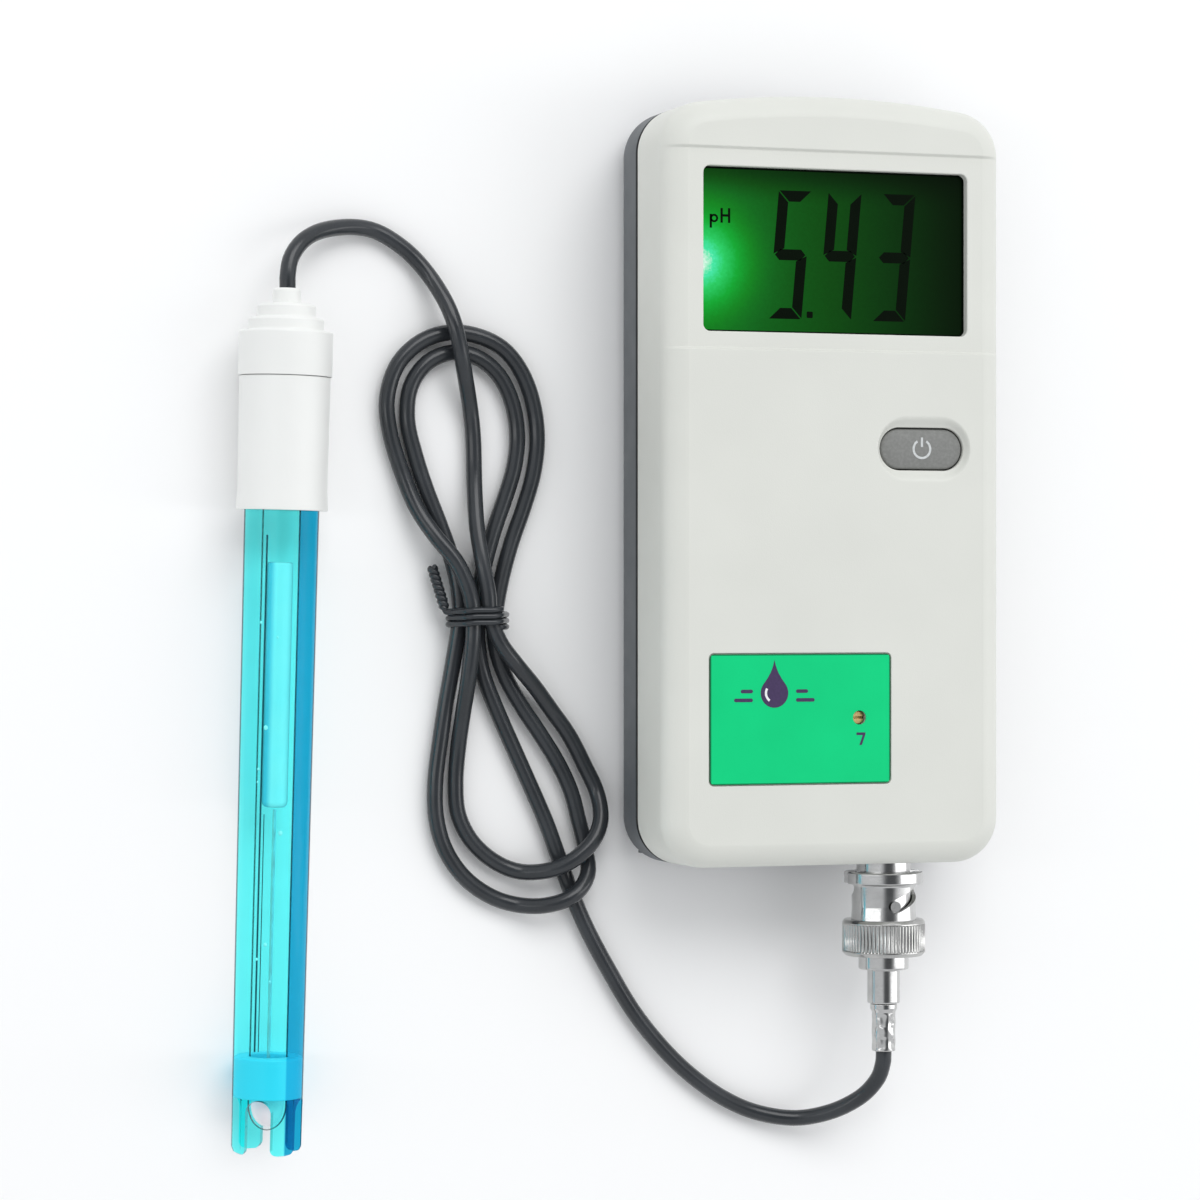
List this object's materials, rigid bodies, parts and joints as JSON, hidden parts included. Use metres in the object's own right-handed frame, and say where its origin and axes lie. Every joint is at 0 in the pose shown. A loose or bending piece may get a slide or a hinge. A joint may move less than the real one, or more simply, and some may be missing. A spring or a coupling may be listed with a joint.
{
  "type": "pH meter",
  "caption": "Hand-held pH meter with a lit display, a power button and a calibration trimmer, joined by a tied coaxial cable and a bayonet plug to a clear blue glass electrode.",
  "frame": {"origin": "centre of the meter's flat back face, on the table", "axes": "+X to the right of the meter, +Y to its display end, +Z out of its front face; the connector leaves along -Y"},
  "size_m": [0.1319, 0.1795, 0.0271],
  "materials": {
    "case_light": "fine moulded texture, off-white",
    "case_dark": "fine moulded texture, dark slate grey",
    "button": "matt dark grey rubber",
    "label": "printed film, plain green",
    "display": "polariser film over glass, lit green from one side",
    "light_guide": "clear acrylic lit by green light",
    "elastomer": "pink silicone with black conducting layers",
    "board": "solder mask over glass fibre",
    "chip": "moulded epoxy, black",
    "capacitor": "blue sleeve",
    "battery": "plain printed wrap",
    "nickel": "bright nickel plate over brass",
    "brass": "turned brass",
    "steel": "zinc plated",
    "silver": "silver wire, dulled by its chloride coat",
    "white_insulator": "white moulded insulator",
    "red_wire": "red insulation",
    "black_wire": "black plastic over wire",
    "cable": "charcoal PVC jacket with a soft sheen",
    "cap_white": "white moulded cap",
    "tube_blue": "clear bright blue tube",
    "element_blue": "clear blue, paler than the tube",
    "stem_glass": "clear glass with a milky bulb",
    "seal": "black rubber"
  },
  "bodies": {
    "meter": {"back_shell": "case_dark", "backlight_led": "light_guide", "battery_9v": "battery", "battery_snap": "chip", "battery_terminal_large": "nickel", "battery_terminal_small": "nickel", "black_lead": "black_wire", "board_screw_1": "steel", "board_screw_2": "steel", "board_screw_3": "steel", "case_screw_1": "steel", "case_screw_2": "steel", "case_screw_3": "steel", "case_screw_4": "steel", "converter_chip": "chip", "film_capacitor": "capacitor", "front_label": "label", "front_shell": "case_light", "ground_tag": "steel", "input_amplifier": "chip", "jack_body": "nickel", "jack_contact": "brass", "jack_insulator": "white_insulator", "jack_nut": "nickel", "jack_wire": "red_wire", "lcd_glass": "display", "lcd_holder": "white_insulator", "lcd_light_guide": "light_guide", "main_board": "board", "power_switch": "chip", "red_lead": "red_wire", "smoothing_capacitor": "capacitor", "trimmer_body": "capacitor", "voltage_reference": "chip", "zebra_strip": "elastomer"},
    "power_button": {"power_button": "button"},
    "trimmer": {"trimmer_screw": "brass"},
    "battery_door": {"battery_door": "case_dark"},
    "probe": {"cable_electrode_lead": "cable", "cable_lower_loop_1": "cable", "cable_lower_loop_2": "cable", "cable_plug_lead": "cable", "cable_tie": "black_wire", "cable_upper_loop_1": "cable", "cable_upper_loop_2": "cable", "plug_body": "nickel", "plug_insulator": "white_insulator", "plug_pin": "brass", "plug_gasket": "seal", "spring_washer": "steel", "crimp_ferrule": "nickel", "cap_top": "cap_white", "cap_sleeve": "cap_white", "cap_seal": "seal", "electrode_tube": "tube_blue", "tip_plug": "tube_blue", "glass_stem": "stem_glass", "reference_element": "element_blue", "silver_wire": "silver"},
    "coupling_nut": {"coupling_nut": "nickel"}
  },
  "joints": [
    {"name": "button_press", "type": "slide", "parent": "meter", "child": "power_button", "axis": [0, 0, -1], "range_m": [0, 0.001], "stiffness_N_per_m": 1000, "springref_m": -0.0005},
    {"name": "trimmer_turn", "type": "hinge", "parent": "meter", "child": "trimmer", "pos_m": [0.00395, -0.0405, 0.0242], "axis": [0, 0, 1], "continuous": true},
    {"name": "door_slide", "type": "slide", "parent": "meter", "child": "battery_door", "axis": [0, -1, 0], "range_m": [0, 0.024]},
    {"name": "plug_slide", "type": "slide", "parent": "meter", "child": "probe", "axis": [0, -1, 0], "range_m": [0, 0.0032]},
    {"name": "nut_turn", "type": "hinge", "parent": "probe", "child": "coupling_nut", "pos_m": [0.014, -0.0738, 0.0133], "axis": [0, -1, 0], "range_deg": [0, 80]}
  ],
  "couplings": [
    {"joint": "nut_turn", "follows": "plug_slide", "rad_per_m": 436}
  ]
}
